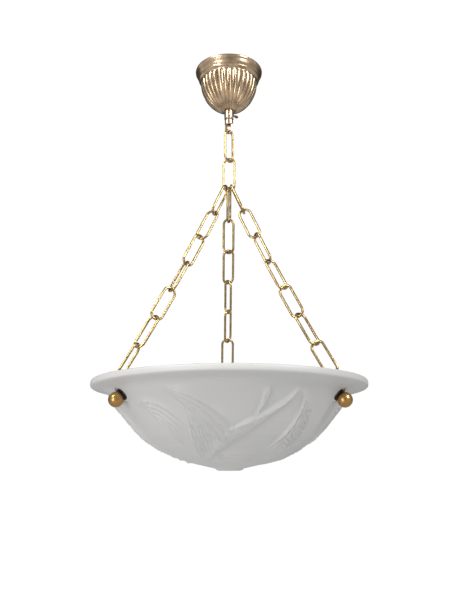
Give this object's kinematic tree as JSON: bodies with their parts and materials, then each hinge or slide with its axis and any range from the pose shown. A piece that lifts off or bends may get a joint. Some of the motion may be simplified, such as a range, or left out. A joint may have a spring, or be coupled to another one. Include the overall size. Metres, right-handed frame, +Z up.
{
  "type": "hanging bowl lamp",
  "caption": "Hanging lamp: pressed frosted glass bowl on brass chains, under a drop of chain, a wireway loop and a fluted brass ceiling canopy.",
  "frame": {"origin": "the point where a ceiling hook bears inside the hanging ring, on the lamp's upright axis", "axes": "+Z up, -Y the front with the two front chains, +X to the right seen from the front"},
  "size_m": [0.35, 0.35, 0.5573],
  "materials": {
    "antique_brass": "aged satin brass with a brown tone",
    "chain_brass": "yellow brass, lightly polished",
    "ball_brass": "dark polished brass",
    "screw_brass": "nearly black",
    "frosted_glass": "satin, white and translucent",
    "opal_glass": "opal white",
    "black_rubber": "matt",
    "white_porcelain": "glazed",
    "nickelled_steel": "nickel plated"
  },
  "bodies": {
    "stem": {"hanging_ring": "antique_brass", "lock_nut": "antique_brass", "stem_tube": "antique_brass", "hang_loop": "antique_brass"},
    "canopy": {"canopy_cup": "antique_brass", "canopy_collar": "antique_brass"},
    "set_screw": {"set_screw": "screw_brass"},
    "link_1": {"link_1": "chain_brass"},
    "link_2": {"link_2": "chain_brass"},
    "bowl": {"glass_bowl": "frosted_glass", "left_hook": "chain_brass", "left_outer_washer": "black_rubber", "left_inner_washer": "black_rubber", "left_hook_nut": "chain_brass", "right_hook": "chain_brass", "right_outer_washer": "black_rubber", "right_inner_washer": "black_rubber", "right_hook_nut": "chain_brass", "back_hook": "chain_brass", "back_outer_washer": "black_rubber", "back_inner_washer": "black_rubber", "back_hook_nut": "chain_brass", "lamp_spider": "antique_brass", "lampholder_shell": "antique_brass", "lampholder_base": "white_porcelain", "centre_contact": "nickelled_steel", "holder_nipple": "antique_brass", "nipple_nut": "antique_brass"},
    "bulb": {"bulb_cap": "nickelled_steel", "bulb_glass": "opal_glass"},
    "left_ball_nut": {"left_ball_nut": "ball_brass"},
    "left_link_1": {"left_link_1": "chain_brass"},
    "left_link_2": {"left_link_2": "chain_brass"},
    "left_link_3": {"left_link_3": "chain_brass"},
    "left_link_4": {"left_link_4": "chain_brass"},
    "left_link_5": {"left_link_5": "chain_brass"},
    "left_link_6": {"left_link_6": "chain_brass"},
    "left_link_7": {"left_link_7": "chain_brass"},
    "right_ball_nut": {"right_ball_nut": "ball_brass"},
    "right_link_1": {"right_link_1": "chain_brass"},
    "right_link_2": {"right_link_2": "chain_brass"},
    "right_link_3": {"right_link_3": "chain_brass"},
    "right_link_4": {"right_link_4": "chain_brass"},
    "right_link_5": {"right_link_5": "chain_brass"},
    "right_link_6": {"right_link_6": "chain_brass"},
    "right_link_7": {"right_link_7": "chain_brass"},
    "back_ball_nut": {"back_ball_nut": "ball_brass"},
    "back_link_1": {"back_link_1": "chain_brass"},
    "back_link_2": {"back_link_2": "chain_brass"},
    "back_link_3": {"back_link_3": "chain_brass"},
    "back_link_4": {"back_link_4": "chain_brass"},
    "back_link_5": {"back_link_5": "chain_brass"},
    "back_link_6": {"back_link_6": "chain_brass"},
    "back_link_7": {"back_link_7": "chain_brass"}
  },
  "joints": [
    {"name": "canopy_slide", "type": "slide", "parent": "stem", "child": "canopy", "axis": [0, 0, 1], "range_m": [0, 0.015]},
    {"name": "set_screw_turn", "type": "hinge", "parent": "canopy", "child": "set_screw", "pos_m": [0, 0, -0.0512], "axis": [0.788, 0.6157, 0], "continuous": true},
    {"name": "link_1_swing", "type": "hinge", "parent": "stem", "child": "link_1", "pos_m": [0, 0, -0.0808], "axis": [0.9397, -0.342, 0], "range_deg": [-22, 19]},
    {"name": "link_2_swing", "type": "hinge", "parent": "link_1", "child": "link_2", "pos_m": [0, 0, -0.1243], "axis": [0.682, 0.7314, 0], "range_deg": [-40, 40]},
    {"name": "bowl_swing", "type": "hinge", "parent": "link_2", "child": "bowl", "pos_m": [0, 0, -0.1679], "axis": [0.9703, -0.2419, 0], "range_deg": [-15, 8]},
    {"name": "bulb_turn", "type": "hinge", "parent": "bowl", "child": "bulb", "pos_m": [0, 0, -0.49], "axis": [0, 0, 1], "continuous": true},
    {"name": "left_ball_turn", "type": "hinge", "parent": "bowl", "child": "left_ball_nut", "pos_m": [-0.13173, -0.07978, -0.4619], "axis": [-0.6421, -0.3889, -0.6606], "continuous": true},
    {"name": "left_link_1_twist", "type": "hinge", "parent": "bowl", "child": "left_link_1", "pos_m": [-0.01239, -0.00414, -0.18358], "axis": [-0.382, -0.2118, -0.8996], "range_deg": [-8, 6]},
    {"name": "left_link_2_twist", "type": "hinge", "parent": "bowl", "child": "left_link_2", "pos_m": [-0.02929, -0.01351, -0.22267], "axis": [-0.393, -0.2178, -0.8934], "range_deg": [-12, 12]},
    {"name": "left_link_3_twist", "type": "hinge", "parent": "bowl", "child": "left_link_3", "pos_m": [-0.04666, -0.02313, -0.26148], "axis": [-0.4039, -0.2239, -0.887], "range_deg": [-12, 12]},
    {"name": "left_link_4_twist", "type": "hinge", "parent": "bowl", "child": "left_link_4", "pos_m": [-0.0645, -0.03302, -0.30001], "axis": [-0.4146, -0.2298, -0.8805], "range_deg": [-12, 12]},
    {"name": "left_link_5_twist", "type": "hinge", "parent": "bowl", "child": "left_link_5", "pos_m": [-0.08281, -0.04318, -0.33826], "axis": [-0.4254, -0.2358, -0.8738], "range_deg": [-12, 12]},
    {"name": "left_link_6_twist", "type": "hinge", "parent": "bowl", "child": "left_link_6", "pos_m": [-0.10159, -0.05358, -0.3762], "axis": [-0.436, -0.2417, -0.8669], "range_deg": [-12, 12]},
    {"name": "left_link_7_twist", "type": "hinge", "parent": "bowl", "child": "left_link_7", "pos_m": [-0.12083, -0.06425, -0.41385], "axis": [-0.4465, -0.2475, -0.8599], "range_deg": [-12, 12]},
    {"name": "right_ball_turn", "type": "hinge", "parent": "bowl", "child": "right_ball_nut", "pos_m": [0.13495, -0.07419, -0.4619], "axis": [0.6579, -0.3617, -0.6606], "continuous": true},
    {"name": "right_link_1_twist", "type": "hinge", "parent": "bowl", "child": "right_link_1", "pos_m": [0.01169, -0.00694, -0.18349], "axis": [0.352, -0.2586, -0.8996], "range_deg": [-6, 8]},
    {"name": "right_link_2_twist", "type": "hinge", "parent": "bowl", "child": "right_link_2", "pos_m": [0.02726, -0.01837, -0.22257], "axis": [0.3621, -0.266, -0.8934], "range_deg": [-12, 12]},
    {"name": "right_link_3_twist", "type": "hinge", "parent": "bowl", "child": "right_link_3", "pos_m": [0.04326, -0.03013, -0.26138], "axis": [0.3721, -0.2734, -0.887], "range_deg": [-12, 12]},
    {"name": "right_link_4_twist", "type": "hinge", "parent": "bowl", "child": "right_link_4", "pos_m": [0.0597, -0.04221, -0.29991], "axis": [0.3821, -0.2807, -0.8805], "range_deg": [-12, 12]},
    {"name": "right_link_5_twist", "type": "hinge", "parent": "bowl", "child": "right_link_5", "pos_m": [0.07658, -0.0546, -0.33816], "axis": [0.392, -0.2879, -0.8738], "range_deg": [-12, 12]},
    {"name": "right_link_6_twist", "type": "hinge", "parent": "bowl", "child": "right_link_6", "pos_m": [0.09388, -0.06731, -0.3761], "axis": [0.4017, -0.2951, -0.8669], "range_deg": [-12, 12]},
    {"name": "right_link_7_twist", "type": "hinge", "parent": "bowl", "child": "right_link_7", "pos_m": [0.11161, -0.08034, -0.41375], "axis": [0.4115, -0.3022, -0.8599], "range_deg": [-12, 12]},
    {"name": "back_ball_turn", "type": "hinge", "parent": "bowl", "child": "back_ball_nut", "pos_m": [-0.00323, 0.15397, -0.4619], "axis": [-0.0157, 0.7505, -0.6606], "continuous": true},
    {"name": "back_link_1_twist", "type": "hinge", "parent": "bowl", "child": "back_link_1", "pos_m": [-0.00018, 0.01029, -0.18499], "axis": [-0.0076, 0.4367, -0.8996], "range_deg": [-6, 5]},
    {"name": "back_link_2_twist", "type": "hinge", "parent": "bowl", "child": "back_link_2", "pos_m": [-0.00052, 0.0296, -0.22407], "axis": [-0.0078, 0.4493, -0.8934], "range_deg": [-12, 12]},
    {"name": "back_link_3_twist", "type": "hinge", "parent": "bowl", "child": "back_link_3", "pos_m": [-0.00086, 0.04946, -0.26288], "axis": [-0.0081, 0.4617, -0.887], "range_deg": [-12, 11]},
    {"name": "back_link_4_twist", "type": "hinge", "parent": "bowl", "child": "back_link_4", "pos_m": [-0.00122, 0.06986, -0.30141], "axis": [-0.0083, 0.474, -0.8805], "range_deg": [-12, 12]},
    {"name": "back_link_5_twist", "type": "hinge", "parent": "bowl", "child": "back_link_5", "pos_m": [-0.00159, 0.09079, -0.33966], "axis": [-0.0085, 0.4863, -0.8738], "range_deg": [-12, 12]},
    {"name": "back_link_6_twist", "type": "hinge", "parent": "bowl", "child": "back_link_6", "pos_m": [-0.00196, 0.11226, -0.3776], "axis": [-0.0087, 0.4984, -0.8669], "range_deg": [-12, 12]},
    {"name": "back_link_7_twist", "type": "hinge", "parent": "bowl", "child": "back_link_7", "pos_m": [-0.00234, 0.13425, -0.41525], "axis": [-0.0089, 0.5105, -0.8599], "range_deg": [-12, 12]}
  ]
}
